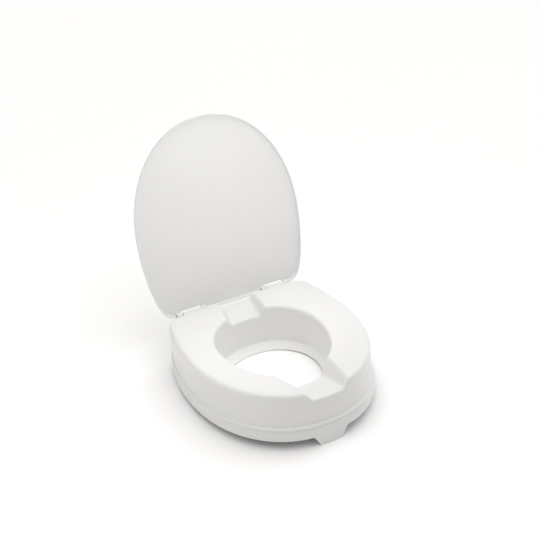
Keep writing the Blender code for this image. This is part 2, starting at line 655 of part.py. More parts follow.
def build():
    for old in list(bpy.data.objects):
        bpy.data.objects.remove(old)
    frame = bpy.data.objects.new("seat_frame", None)
    bpy.context.collection.objects.link(frame)
    frame.location = (0.0, -MIDDLE_Y, 0.0)

    white = (0.86, 0.86, 0.85)
    make_seat(frame, material("seat_plastic", white, 0.30))
    make_ring("rim_band", band_rings(), frame, material("band_plastic", white, 0.30))
    make_ring("splash_guard", guard_rings(), frame, material("guard_plastic", white, 0.30))
    make_lid(frame, material("lid_plastic", white, 0.28))
    for side, label in ((1, "right"), (-1, "left")):
        make_pin("hinge_pin_" + label, side, frame, material("pin_plastic_" + label, (0.80, 0.80, 0.79), 0.35))
        make_bracket("clamp_bracket_" + label, side, frame,
                     material("bracket_plastic_" + label, (0.82, 0.82, 0.81), 0.40))
        make_bracket_pad("bracket_pad_" + label, side, frame,
                         material("bracket_rubber_" + label, (0.30, 0.30, 0.31), 0.80))
        make_bolt("clamp_bolt_" + label, side, frame, material("bolt_steel_" + label, (0.6, 0.6, 0.6), 0.35, 1.0))
        make_washer("clamp_washer_" + label, side, frame,
                    material("washer_steel_" + label, (0.62, 0.62, 0.62), 0.35, 1.0))
        make_wing_nut("wing_nut_" + label, side, frame,
                      material("nut_plastic_" + label, (0.84, 0.84, 0.83), 0.40))
        make_rim_pad("rim_pad_front_" + label, side, FRONT_PAD_STATIONS, frame,
                     material("front_pad_foam_" + label, (0.45, 0.45, 0.46), 0.90))
        make_rim_pad("rim_pad_rear_" + label, side, REAR_PAD_STATIONS, frame,
                     material("rear_pad_foam_" + label, (0.45, 0.45, 0.46), 0.90))


build()
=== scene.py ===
"""Looks for the raised toilet seat.

Each piece is lofted again on the CAD's own sections, with many more stations and with filleted edges, and
gets a procedural moulded-plastic, rubber, foam or steel finish. Metres, in the CAD model's frame.
"""

import math

import bmesh
import bpy
import numpy as np
from mathutils import Matrix, Vector

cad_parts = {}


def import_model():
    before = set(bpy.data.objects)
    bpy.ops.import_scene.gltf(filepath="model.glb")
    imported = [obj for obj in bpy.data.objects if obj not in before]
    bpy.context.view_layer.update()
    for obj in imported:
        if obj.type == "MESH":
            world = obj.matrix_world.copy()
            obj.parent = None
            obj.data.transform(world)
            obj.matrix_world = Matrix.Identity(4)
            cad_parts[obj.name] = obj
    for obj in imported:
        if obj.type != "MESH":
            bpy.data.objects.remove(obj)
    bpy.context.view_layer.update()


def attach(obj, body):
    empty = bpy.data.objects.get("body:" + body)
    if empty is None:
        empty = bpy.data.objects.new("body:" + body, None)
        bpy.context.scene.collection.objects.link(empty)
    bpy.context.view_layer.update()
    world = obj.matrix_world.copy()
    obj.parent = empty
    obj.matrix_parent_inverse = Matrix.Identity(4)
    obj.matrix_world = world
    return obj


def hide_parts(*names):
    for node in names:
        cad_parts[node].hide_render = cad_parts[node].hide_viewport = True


# ---------------------------------------------------------------- dimensions, as in the CAD
SEAT_HALF_WIDTH = 0.1850
SEAT_FRONT = 0.2310
SEAT_BACK = 0.1560
SEAT_WIDEST_Y = 0.0120
MIDDLE_Y = 0.01985             # the seat's own zero line lies this far in front of the frame's
WALL = 0.0035

# the seat's outline is two half ovals; each pair is at the band, and at the shoulder
FRONT_POWER = (2.17, 2.10)
REAR_TAPER = (0.285, 0.305)
REAR_POWER = 12.0

LUG_DROP = 0.0210
LUG_ROOT = (0.0062, 0.0032)    # heights above the band's foot with none of the drop, and with all of it
BAND_BOTTOM = LUG_DROP
SHELF_Z = 0.0470
DIP_FOOT_Z = 0.0520            # the outer wall follows the recesses' fall from here up
TOP_Z = 0.1180
SHOULDER = 0.0100
REAR_TIGHT = (0.120, 0.150)    # between these the shoulder shrinks to its size along the rear
REAR_SHOULDER = 0.45           # of SHOULDER
FRONT_SHOULDER = 0.50          # of SHOULDER, across the front recess
DISH = 0.0100
DISH_POWER = 1.6               # how late the dish falls, from the shoulder to the opening
OPENING_EDGE = 0.0080
WALL_END = 0.95                # how far from OPENING_TOP to OPENING_FOOT the wall gets above its fillet
WALL_POWER = 0.87              # below 1 the wall changes shape sooner near its top
DIP_POWER = 1.4                # how fast the recesses fade down the splash wall
LEDGE_Z = 0.0250
LEDGE_FILLET = 0.0050
LEDGE_RUN = 0.0040
LIP_Z = 0.0180
LIP_THICKNESS = 0.0030
LIP_ROUND = 0.0022             # how far out the lip's rounded edge starts
LEDGE_FLAT = 0.0030            # the ledge's flat part ends this far in
LEDGE_ROUND = (0.0006, 0.0018, 0.0014)    # past LEDGE_RUN: the edge's corner, its end, and its fall
DRAFT = 0.0050                 # insets of the outside, from its widest line
WALL_FOOT = (0.0050, 0.0498)
GROOVE = (0.0028, 0.0422)
FOOT_EDGE = (0.0001, 0.0028)
BAND_INSET = (0.0016, 0.0042)
SKIRT_INSET = WALL + 0.0010
SEAM_SHARE = 0.74

# the two recesses in the top; each pair is at the rim, and at the opening
FRONT_DIP = (0.0165, 0.0300)
FRONT_FLOOR = (0.0275, 0.0335)
FRONT_EDGE = (0.0495, 0.0615)
REAR_DIP = (0.0120, 0.0200)
REAR_FLOOR = (0.0265, 0.0285)
REAR_EDGE = (0.0455, 0.0485)
LUG_HALF = (0.0190, 0.0395)

# half-width, reach to the front, reach to the rear, and middle line of each oval in the opening
OPENING_TOP = (0.1085, 0.1400, 0.1090, 0.0110)
OPENING_FOOT = (0.1100, 0.1270, 0.1040, 0.0090)
APERTURE = (0.0960, 0.0980, 0.0900, 0.0)

HINGE_Y = 0.1685
HINGE_Z = 0.1140
BARREL_RADIUS = 0.0048
PIN_RADIUS = 0.0023
GAP = 0.0003
KNUCKLE_X = (0.0755, 0.1180)
# the knuckle's root from the hinge axis: y, z and radius of each corner, then two points in the shoulder
KNUCKLE_ROOT = ((0.0008, -0.0048, 0.0), (-0.0058, -0.0062, 0.0040), (-0.0090, -0.0150, 0.0))
KNUCKLE_INSIDE = ((-0.0180, 0.0030), (-0.0180, -0.0150))
INNER_EAR_X = (0.0655, 0.0745)
OUTER_EAR_X = (0.1190, 0.1310)
EAR_RADIUS = 0.0050

LID_HALF_WIDTH = 0.1820
LID_LENGTH = 0.3890
LID_WIDEST = 0.1550
LID_TAIL = 0.0045
LID_TAPER = 0.3050
LID_INNER = 0.0055
LID_THICKNESS = 0.0030
LID_LIP = 0.0060
LID_LIP_WIDTH = 0.0025
LID_OPEN = math.radians(102.2)
NOTCH = (-0.0070, 0.0200, -0.0100, 0.0200)    # lowest and highest y, then z, about the hinge

CLAMP_ANGLE = math.radians(35.0)
POCKET = (0.1430, 0.1990)
POCKET_HALF = 0.0260
POCKET_CORNER = 0.0045
POCKET_ROOF = 0.0800
POCKET_WALL = 0.0030
BOLT_REACH = 0.1765
BOLT_RADIUS = 0.0030
SLIDE_IN = 0.0100
SLIDE_OUT = 0.0060
KEYHOLE_RADIUS = 0.0068
KEYHOLE_PAST = 0.0075          # from the slot's outer end to the middle of its round hole
HEAD_ROOM = (0.0090, 0.0145, 0.0090)    # past the slot's inner end, past its outer end, and each side
BOLT_HEAD = (0.0060, 0.0042, 0.0020, 0.0032)    # radii of its rim and top, and their heights
BRACKET_FOOT = 0.0115
BRACKET_PLATE = 0.0040
BRACKET_HALF = 0.0200
BRACKET_BACK = 0.1900
TOE_REACH = 0.1760
LEG_REACH = 0.1545
PAD_THICKNESS = 0.0035
RIM_PAD_THICKNESS = 0.0025
RIM_PAD_INSET = (0.0200, 0.0360)
FRONT_PAD_RUN = (0.3704, 0.5556)   # along the seat's side, from its front end to its rear end
REAR_PAD_RUN = (0.7407, 0.9259)
WASHER_TOP = POCKET_ROOF - GAP - BRACKET_PLATE - GAP
WASHER_THICKNESS = 0.0012
WASHER_RADIUS = 0.0070
NUT_TOP = WASHER_TOP - WASHER_THICKNESS - GAP
NUT_HEIGHT = 0.0080
NUT_RADII = (0.0050, 0.0054, 0.0066)    # at its foot, just above it, and at its top
BOLT_END = NUT_TOP - NUT_HEIGHT - 0.0060
BOLT_PITCH = 0.0010
BOLT_THREAD = 0.0004           # depth of a groove
WING_HALF = 0.0012             # half the thickness of a wing
WING_ROOT = 0.0036
# the wing's corners: reach from the bolt, height above the nut's foot, and radius
WING_CORNERS = ((WING_ROOT, 0.0010, 0.0002), (0.0090, -0.0040, 0.0030), (0.0118, -0.0052, 0.0015),
                (0.0142, -0.0036, 0.0015), (0.0148, -0.0006, 0.0015), (0.0136, 0.0022, 0.0015),
                (0.0095, 0.0062, 0.0030), (WING_ROOT, 0.0072, 0.0002))

# ---------------------------------------------------------------- fineness of the meshes
FRONT_X = np.linspace(0.0, 0.064, 46)
REAR_X = np.linspace(0.052, 0.0, 38)
SIDE_STATIONS = 150
QUARTER_STEPS = 500
FILLET_STEPS = 4
ROUND_SIDES = 48
CUT = 0.0020                   # how far a cutter reaches past what it cuts
SMALL_EDGE = 0.0006            # rounding of small ends and ears
BRACKET_EDGE = 0.0009

# ---------------------------------------------------------------- colours
SEAT_WHITE = (0.760, 0.755, 0.747)
PIN_WHITE = (0.80, 0.80, 0.79)
BRACKET_WHITE = (0.82, 0.82, 0.81)
NUT_WHITE = (0.84, 0.84, 0.83)
RUBBER_GREY = (0.30, 0.30, 0.31)
FOAM_GREY = (0.45, 0.45, 0.46)
STEEL_GREY = (0.61, 0.61, 0.61)

# ---------------------------------------------------------------- view and light
VIEW_AZIMUTH = math.radians(26.515)    # the camera stands this far to the left of straight in front
VIEW_ELEVATION = math.radians(28.621)
VIEW_ROLL = math.radians(-3.841)
VIEW_TARGET = Vector((0.0591, 0.0892, 0.1912))
VIEW_DISTANCE = 1.840
VIEW_LENS = 60.0
VIEW_SENSOR = 36.0
FLOOR_PITCH = math.radians(2.8)        # the seat stands on its lug and on the rear of its splash guard
FLOOR_HALF = 60.0
FLOOR_COLORS = ((0.975, 0.97, 0.965, 1.0), (0.98, 0.975, 0.97, 1.0))
BACKDROP_RADIUS = 30.0
BACKDROP_HEIGHT = 20.0

# name, azimuth, elevation, strength, spread and colour of each far light
SUNS = (("overhead_key", 75, 82, 1.98, 90, (1.0, 0.997, 0.99)),
        ("left_fill", -100, 22, 0.62, 60, (1.0, 0.99, 0.98)),
        ("right_fill", 95, 25, 0.55, 60, (1.0, 1.0, 1.0)))
INNER_FILL = ((0.04, -0.13, 0.50), (0.04, 0.25, 0.24), (0.50, 0.20), 0.60)    # place, aim, size, power
ROOM_COLOR = (1.0, 0.99, 0.985, 1.0)
ROOM_STRENGTH = 0.26
BACKDROP_COLOR = (1.0, 0.996, 0.992, 1.0)


# ---------------------------------------------------------------- outlines
def quarter(power):
    """A quarter of a superellipse of unit half-axes, evenly spread, from (0, 1) to (1, 0)."""
    near = np.linspace(0.0, 0.5 ** (1 / power), QUARTER_STEPS)
    far = (1 - near ** power) ** (1 / power)
    return np.append(near, far[-2::-1]), np.append(far, near[-2::-1])


def oval(half_width, front, back, middle, front_power=2.1, back_power=2.1, taper=1e6):
    """The right half of a closed oval: x and y of its front part, then x and y of its rear part."""
    wide, run = quarter(front_power)
    front_x, front_y = half_width * wide, middle - front * run
    wide, run = quarter(back_power)
    wide, run = wide[::-1], run[::-1]
    narrow = np.sqrt(1 - (run * back / taper) ** 2)
    return front_x, front_y, half_width * wide * narrow, middle + back * run


def side_run(shape):
    """The side of an oval between the last front station and the first rear one: x, y and length so far."""
    front_x, front_y, rear_x, rear_y = shape
    first_y = np.interp(FRONT_X[-1], front_x, front_y)
    last_y = np.interp(REAR_X[0], rear_x[::-1], rear_y[::-1])
    ahead, behind = front_x > FRONT_X[-1], rear_x > REAR_X[0]
    x = np.concatenate([[FRONT_X[-1]], front_x[ahead], rear_x[behind], [REAR_X[0]]])
    y = np.concatenate([[first_y], front_y[ahead], rear_y[behind], [last_y]])
    length = np.append(0.0, np.cumsum(np.hypot(np.diff(x), np.diff(y))))
    return x, y, length


def stations(shape):
    """A full ring of (x, y): set x places at the front and rear, even steps along each side."""
    front_x, front_y, rear_x, rear_y = shape
    x, y, length = side_run(shape)
    steps = np.linspace(0.0, length[-1], SIDE_STATIONS + 2)[1:-1]
    right_x = np.concatenate([FRONT_X, np.interp(steps, length, x), REAR_X])
    right_y = np.concatenate([np.interp(FRONT_X, front_x, front_y), np.interp(steps, length, y),
                              np.interp(REAR_X, rear_x[::-1], rear_y[::-1])])
    right = np.stack([right_x, right_y], axis=1)
    left = right[-2:0:-1] * (-1.0, 1.0)
    return np.concatenate([right, left])


def outer_shape(inset, z=SHELF_Z):
    high = min(max((z - SHELF_Z) / (TOP_Z - SHOULDER - SHELF_Z), 0.0), 1.0)
    return oval(SEAT_HALF_WIDTH - inset, SEAT_FRONT - inset, SEAT_BACK - inset, SEAT_WIDEST_Y,
                mix(FRONT_POWER, high), REAR_POWER, mix(REAR_TAPER, high))


def outer(inset, z=SHELF_Z):
    """The seat's outline at a height, drawn in by inset."""
    return stations(outer_shape(inset, z))


def opening(share, grow=0.0):
    """The splash wall, from the opening's edge (share 0) down to the ledge (share 1)."""
    wide, front, back, middle = (mix(pair, share) for pair in zip(OPENING_TOP, OPENING_FOOT))
    return stations(oval(wide + grow, front + grow, back + grow, middle))


def aperture(grow=0.0):
    wide, front, back, middle = APERTURE
    return stations(oval(wide + grow, front + grow, back + grow, middle))


def mix(pair, share):
    return pair[0] + (pair[1] - pair[0]) * share


def ease(x, floor, edge):
    """1 inside floor, 0 outside edge, with a smooth fall between."""
    share = np.clip((edge - np.abs(x)) / (edge - floor), 0.0, 1.0)
    return share ** 3 * (6 * share * share - 15 * share + 10)


def rounded(corners):
    """A run of (u, v, radius) corners, each turned into a small curve."""
    points = [Vector(corners[0][:2])]
    for before, here, after in zip(corners, corners[1:], corners[2:]):
        corner = Vector(here[:2])
        back, ahead = Vector(before[:2]) - corner, Vector(after[:2]) - corner
        reach = here[2] / math.tan(back.angle(ahead) / 2)
        reach = min(reach, 0.48 * back.length, 0.48 * ahead.length)
        start, end = corner + back.normalized() * reach, corner + ahead.normalized() * reach
        for step in range(FILLET_STEPS + 1):
            share = step / FILLET_STEPS
            points.append(start.lerp(corner, share).lerp(corner.lerp(end, share), share))
    points.append(Vector(corners[-1][:2]))
    return points


# ---------------------------------------------------------------- mesh tools
def loft(work, rings, closed=False):
    """Joins rings of 3-D points by quads, and caps the two ends unless the rings come round."""
    made = [[work.verts.new(point) for point in ring] for ring in rings]
    count = len(made[0])
    last = len(made) if closed else len(made) - 1
    for level in range(last):
        low, high = made[level], made[(level + 1) % len(made)]
        for i in range(count):
            j = (i + 1) % count
            work.faces.new((low[i], low[j], high[j], high[i]))
    if not closed:
        work.faces.new(reversed(made[0]))
        work.faces.new(made[-1])


def circle(radius, middle=(0.0, 0.0), sides=ROUND_SIDES):
    return [(middle[0] + radius * math.cos(2 * math.pi * i / sides),
             middle[1] + radius * math.sin(2 * math.pi * i / sides)) for i in range(sides)]


def arc(middle, radius, first, last, steps):
    return [(middle[0] + radius * math.cos(math.radians(first + (last - first) * i / steps)),
             middle[1] + radius * math.sin(math.radians(first + (last - first) * i / steps)))
            for i in range(steps + 1)]


def box_outline(low_x, high_x, low_y, high_y, radius, steps=6):
    """A rectangle with rounded corners."""
    outline = []
    for x, y, first in ((high_x - radius, high_y - radius, 0), (low_x + radius, high_y - radius, 90),
                        (low_x + radius, low_y + radius, 180), (high_x - radius, low_y + radius, 270)):
        outline += arc((x, y), radius, first, first + 90, steps)
    return outline


def bevel_ends(work, offset):
    """Rounds the edges round every flat end of a prism."""
    ends = {edge for face in work.faces if len(face.verts) > 4 for edge in face.edges}
    bmesh.ops.bevel(work, geom=list(ends), offset=offset, segments=3, profile=0.5, affect='EDGES',
                    clamp_overlap=True)


def object_from(name, work, place=Matrix.Identity(4)):
    """A mesh object with its place in the mesh."""
    bmesh.ops.recalc_face_normals(work, faces=work.faces)
    bmesh.ops.transform(work, matrix=place, verts=work.verts)
    mesh = bpy.data.meshes.new(name)
    work.to_mesh(mesh)
    work.free()
    made = bpy.data.objects.new(name, mesh)
    bpy.context.scene.collection.objects.link(made)
    return made


def combine(target, tools):
    """Runs each (object, operation) Boolean on the target, and keeps only the result."""
    for tool, operation in tools:
        step = target.modifiers.new("step", 'BOOLEAN')
        step.operation = operation
        step.solver = 'EXACT'
        step.object = tool
    ready = target.evaluated_get(bpy.context.evaluated_depsgraph_get())
    mesh = bpy.data.meshes.new_from_object(ready)
    old = target.data
    target.modifiers.clear()
    target.data = mesh
    mesh.name = target.name
    bpy.data.meshes.remove(old)
    for tool, _ in tools:
        bpy.data.objects.remove(tool)


def finish_piece(made, look, body, nodes, sharp=38):
    mesh = made.data
    mesh.materials.clear()
    mesh.materials.append(look)
    mesh.shade_smooth()
    mesh.set_sharp_from_angle(angle=math.radians(sharp))
    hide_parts(*nodes)
    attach(made, body)
    return made


SEAT_PLACE = Matrix.Translation((0.0, -MIDDLE_Y, 0.0))
LID_PLACE = SEAT_PLACE @ Matrix.Translation((0.0, HINGE_Y, HINGE_Z)) @ Matrix.Rotation(-LID_OPEN, 4, 'X')


def clamp_place(side):
    """Local +X points out from the seat's middle along one clamp, side +1 right and -1 left."""
    turn = -math.pi / 2 + side * CLAMP_ANGLE
    return SEAT_PLACE @ Matrix.Translation((0.0, SEAT_WIDEST_Y, 0.0)) @ Matrix.Rotation(turn, 4, 'Z')


# ---------------------------------------------------------------- finishes
class Nodes:
    """A short way to add and join shader nodes."""

    def __init__(self, name):
        self.material = bpy.data.materials.new(name)
        self.material.use_nodes = True
        self.tree = self.material.node_tree
        self.shader = self.tree.nodes["Principled BSDF"]
        place = self.tree.nodes.new("ShaderNodeTexCoord")
        self.where = place.outputs["Object"]

    def add(self, kind, **inputs):
        node = self.tree.nodes.new(kind)
        for name, value in inputs.items():
            self.set(node, name.replace("_", " "), value)
        return node

    def set(self, node, name, value):
        if isinstance(value, bpy.types.NodeSocket):
            self.tree.links.new(value, node.inputs[name])
        else:
            node.inputs[name].default_value = value

    def noise(self, scale, detail=2.0, roughness=0.5):
        return self.add("ShaderNodeTexNoise", Vector=self.where, Scale=scale, Detail=detail,
                        Roughness=roughness).outputs["Fac"]

    def ramp(self, value, low, high, low_out=0.0, high_out=1.0):
        return self.add("ShaderNodeMapRange", Value=value, From_Min=low, From_Max=high, To_Min=low_out,
                        To_Max=high_out).outputs["Result"]

    def blend(self, share, first, second):
        node = self.tree.nodes.new("ShaderNodeMix")
        node.data_type = 'RGBA'
        for index, value in ((0, share), (6, first), (7, second)):
            if isinstance(value, bpy.types.NodeSocket):
                self.tree.links.new(value, node.inputs[index])
            else:
                node.inputs[index].default_value = value
        return node.outputs[2]

    def product(self, first, second):
        node = self.tree.nodes.new("ShaderNodeMath")
        node.operation = 'MULTIPLY'
        self.tree.links.new(first, node.inputs[0])
        self.tree.links.new(second, node.inputs[1])
        return node.outputs[0]

    def bump(self, height, strength, distance, under=None):
        node = self.add("ShaderNodeBump", Height=height, Strength=strength, Distance=distance)
        if under:
            self.set(node, "Normal", under)
        return node.outputs["Normal"]

    def pointiness(self):
        return self.tree.nodes.new("ShaderNodeNewGeometry").outputs["Pointiness"]


def shade(color, factor):
    return (*[min(1.0, part * factor) for part in color], 1.0)


def moulded_plastic(name, color, roughness, wear=0.5, grain=0.10):
    """Satin moulded plastic: a faint cloudy tone, a fine mould grain, long soft waves, and rubbed edges."""
    made = Nodes(name)
    cloud = made.ramp(made.noise(45.0, 5.0, 0.65), 0.30, 0.70)
    base = made.blend(cloud, shade(color, 0.994), shade(color, 1.005))
    rubbed = made.ramp(made.pointiness(), 0.56, 0.68, 0.0, wear)
    patchy = made.ramp(made.noise(60.0, 3.0), 0.45, 0.70)
    base = made.blend(made.product(rubbed, patchy), base, shade(color, 0.96))
    made.set(made.shader, "Base Color", base)
    spread = made.ramp(made.noise(40.0, 2.0), 0.2, 0.8, roughness - 0.006, roughness + 0.010)
    made.set(made.shader, "Roughness", spread)
    wave = made.bump(made.noise(5.0, 0.0), 0.04, 0.0010)
    made.set(made.shader, "Normal", made.bump(made.noise(320.0, 1.0), grain, 0.00003, wave))
    made.set(made.shader, "IOR", 1.49)
    return made.material


def soft_rubber(name, color, scale, depth):
    """Matt rubber or closed-cell foam with a pebbled skin."""
    made = Nodes(name)
    cells = made.add("ShaderNodeTexVoronoi", Vector=made.where, Scale=scale).outputs["Distance"]
    dust = made.ramp(made.noise(80.0, 4.0), 0.4, 0.75, 0.0, 0.6)
    base = made.blend(dust, shade(color, 0.92), shade(color, 1.14))
    made.set(made.shader, "Base Color", base)
    made.set(made.shader, "Roughness", made.ramp(made.noise(140.0, 3.0), 0.3, 0.7, 0.72, 0.9))
    made.set(made.shader, "Normal", made.bump(cells, 0.5, depth))
    return made.material


def plated_steel(name, color):
    """Zinc-plated steel with fine turning marks and a mottled sheen."""
    made = Nodes(name)
    mottle = made.ramp(made.noise(420.0, 4.0), 0.35, 0.65)
    made.set(made.shader, "Base Color", made.blend(mottle, shade(color, 0.90), shade(color, 1.06)))
    made.set(made.shader, "Roughness", made.ramp(made.noise(900.0, 3.0), 0.3, 0.7, 0.28, 0.44))
    made.set(made.shader, "Normal", made.bump(made.noise(3000.0, 2.0), 0.15, 0.00004))
    made.set(made.shader, "Metallic", 1.0)
    return made.material


# ---------------------------------------------------------------- seat
def seat_ring(points, z, amount=0.0, share=0.0, lug=0.0):
    """A ring of the moulding: amount of the recesses' fall, as deep and wide as they are at share."""
    x, y = points[:, 0], points[:, 1]
    front = lug * ease(x, *LUG_HALF)
    front = front + amount * mix(FRONT_DIP, share) * ease(x, mix(FRONT_FLOOR, share), mix(FRONT_EDGE, share))
    rear = amount * mix(REAR_DIP, share) * ease(x, mix(REAR_FLOOR, share), mix(REAR_EDGE, share))
    return np.stack([x, y, z - np.where(y < 0, front, rear)], axis=1)


def bend(start, corner, end, steps=6):
    """Rings that curve from one ring to another, pulled towards a corner ring, without the start ring."""
    made = []
    for step in range(1, steps + 1):
        share = step / steps
        made.append((1 - share) ** 2 * start + 2 * share * (1 - share) * corner + share ** 2 * end)
    return made


def wall_amount(z):
    """How much of the recesses' fall the outer wall takes at a height."""
    return float(np.clip((z - DIP_FOOT_Z) / (TOP_Z - SHOULDER - DIP_FOOT_Z), 0.0, 1.0))


def lug_amount(z):
    """All of the lug's drop at the band's foot, and none of it just above."""
    none, full = LUG_ROOT
    return LUG_DROP * float(np.clip((BAND_BOTTOM + none - z) / (none - full), 0.0, 1.0))


def outside_rings():
    """From the shelf's outer corner, down inside the band, round its foot, over the ridge and up the wall."""
    foot = BAND_BOTTOM
    groove_x, groove_z = GROOVE
    run = rounded([(SKIRT_INSET + 0.0040, SHELF_Z, 0.0), (SKIRT_INSET, SHELF_Z, 0.0020),
                   (SKIRT_INSET, foot, 0.0010), (FOOT_EDGE[0], foot, 0.0010),
                   (FOOT_EDGE[0], foot + FOOT_EDGE[1], 0.0009), (BAND_INSET[0], foot + BAND_INSET[1], 0.0012),
                   (BAND_INSET[0] + 0.0004, groove_z - 0.0020, 0.0012), (groove_x, groove_z, 0.0007),
                   (0.0, groove_z + 0.0020, 0.0014), (0.0, SHELF_Z, 0.0018), (*WALL_FOOT, 0.0035),
                   (DRAFT, TOP_Z - SHOULDER, 0.0)])
    full = []
    for here, after in zip(run, run[1:]):
        at_lug = here.y < foot + 0.007 < after.y + 0.004
        pieces = max(1, int(abs(after.y - here.y) / 0.0085), 5 if at_lug else 1)
        full += [here.lerp(after, step / pieces) for step in range(pieces)]
    return [seat_ring(outer(p.x, p.y), p.y, wall_amount(p.y), 0.0, lug_amount(p.y)) for p in full]


def shoulder_size(points):
    """The shoulder's radius as a share of SHOULDER: tighter along the rear and across the front recess."""
    x, y = points[:, 0], points[:, 1]
    front = 1 - (1 - FRONT_SHOULDER) * ease(x, FRONT_FLOOR[0], FRONT_EDGE[0])
    rear = 1 - (1 - REAR_SHOULDER) * (1 - ease(y, *REAR_TIGHT))
    return np.where(y < 0, front, rear)


def shoulder(degrees):
    """A ring of the rounded upper edge, from the wall (0 degrees) to the top (90)."""
    turn = math.radians(degrees)
    wall, rim = outer(DRAFT, TOP_Z), outer(DRAFT + SHOULDER, TOP_Z)
    size = shoulder_size(wall)
    share = size * (1 - math.cos(turn))
    drop = size * SHOULDER * (1 - math.sin(turn))
    return seat_ring(wall + (rim - wall) * share[:, None], TOP_Z - drop, 1.0)


def top_rings():
    """The shoulder, the dished top and the edge of the opening."""
    rings = [shoulder(angle) for angle in range(0, 91, 9)]
    rim, edge = rings[-1][:, :2], opening(0.0, OPENING_EDGE)
    for step in range(1, 17):
        share = step / 16
        rings.append(seat_ring(rim + (edge - rim) * share, TOP_Z - DISH * share ** DISH_POWER, 1.0, share))
    for angle in range(10, 91, 10):
        turn = math.radians(angle)
        rings.append(seat_ring(opening(0.0, OPENING_EDGE * (1 - math.sin(turn))),
                               TOP_Z - DISH - OPENING_EDGE * (1 - math.cos(turn)), 1.0, 1.0))
    return rings


def splash_rings():
    """The splash wall, its ledge, its lip, and back up its outside to the shelf."""
    high, low = TOP_Z - DISH - OPENING_EDGE, LEDGE_Z + LEDGE_FILLET
    rings = []
    for step in range(1, 11):
        share = step / 10
        rings.append(seat_ring(opening(WALL_END * share ** WALL_POWER), high + (low - high) * share,
                               (1 - share) ** DIP_POWER, 1.0))
    ledge = seat_ring(opening(1.0, -LEDGE_FLAT), LEDGE_Z)
    corner, end, fall = LEDGE_ROUND
    rings += bend(rings[-1], seat_ring(opening(1.0), LEDGE_Z), ledge)
    rings += bend(ledge, seat_ring(opening(1.0, -LEDGE_RUN - corner), LEDGE_Z),
                  seat_ring(opening(1.0, -LEDGE_RUN - end), LEDGE_Z - fall), 4)
    lip = LIP_Z - 0.5 * LIP_THICKNESS
    inner = seat_ring(aperture(), lip)
    rings.append(seat_ring(aperture(LIP_ROUND), LIP_Z + 0.0009))
    rings += bend(rings[-1], seat_ring(aperture(), LIP_Z + 0.0003), inner, 3)
    rings += bend(inner, seat_ring(aperture(), LIP_Z - LIP_THICKNESS),
                  seat_ring(aperture(LIP_ROUND), LIP_Z - LIP_THICKNESS + 0.0005), 3)
    under = seat_ring(opening(1.0, WALL - LEDGE_RUN), LEDGE_Z - LIP_THICKNESS)
    rings.append(under)
    rings += bend(under, seat_ring(opening(1.0, WALL), LEDGE_Z - LIP_THICKNESS),
                  seat_ring(opening(WALL_END, WALL), LEDGE_Z + 0.0060))
    rings.append(seat_ring(opening(SEAM_SHARE, WALL), SHELF_Z - 0.0025))
    rings += bend(rings[-1], seat_ring(opening(SEAM_SHARE, WALL), SHELF_Z),
                  seat_ring(opening(SEAM_SHARE, WALL + 0.0030), SHELF_Z), 4)
    return rings


def pocket_cutter(side):
    """A clamp pocket with rounded corners, a rounded roof and a rounded mouth."""
    run = rounded([(0.0060, SHELF_Z - 0.0100, 0.0), (0.0018, SHELF_Z, 0.0030),
                   (0.0, SHELF_Z + 0.0040, 0.0030), (0.0, POCKET_ROOF, 0.0025),
                   (-0.0080, POCKET_ROOF, 0.0)])
    rings = []
    for grow, z in [(p.x, p.y) for p in run]:
        outline = box_outline(POCKET[0] - grow, POCKET[1] + grow, -POCKET_HALF - grow,
                              POCKET_HALF + grow, max(POCKET_CORNER + grow, 0.0010))
        rings.append([(x, y, z) for x, y in outline])
    work = bmesh.new()
    loft(work, rings)
    return object_from("tool_pocket", work, clamp_place(side))


def keyhole_outline():
    """A slot for the bolt's shank, and beyond it the round hole that lets the head in."""
    half = BOLT_RADIUS + GAP
    inner = arc((BOLT_REACH - SLIDE_IN, 0.0), half, 90, 270, 12)
    head_x = BOLT_REACH + SLIDE_OUT + KEYHOLE_PAST
    reach = math.degrees(math.asin(half / KEYHOLE_RADIUS))
    return inner + arc((head_x, 0.0), KEYHOLE_RADIUS, 180 + reach, 540 - reach, 24)


def straight_cutter(outline, low, high, place):
    work = bmesh.new()
    loft(work, [[(x, y, z) for x, y in outline] for z in (low, high)])
    return object_from("tool_straight", work, place)


def across(outline, low_x, high_x, place, round_ends=0.0):
    """A prism along X whose outline is given in Y and Z."""
    work = bmesh.new()
    loft(work, [[(x, y, z) for y, z in outline] for x in (low_x, high_x)])
    if round_ends:
        bevel_ends(work, round_ends)
    return object_from("tool_across", work, place)


def knuckle_outline():
    """The barrel of the hinge and its root in the seat's shoulder, in Y and Z."""
    barrel = arc((0.0, 0.0), BARREL_RADIUS, 90, -80, 20)
    root = [(p.x, p.y) for p in rounded(KNUCKLE_ROOT)[1:]]
    outline = [KNUCKLE_INSIDE[0]] + barrel + root + [KNUCKLE_INSIDE[1]]
    return [(HINGE_Y + y, HINGE_Z + z) for y, z in outline]


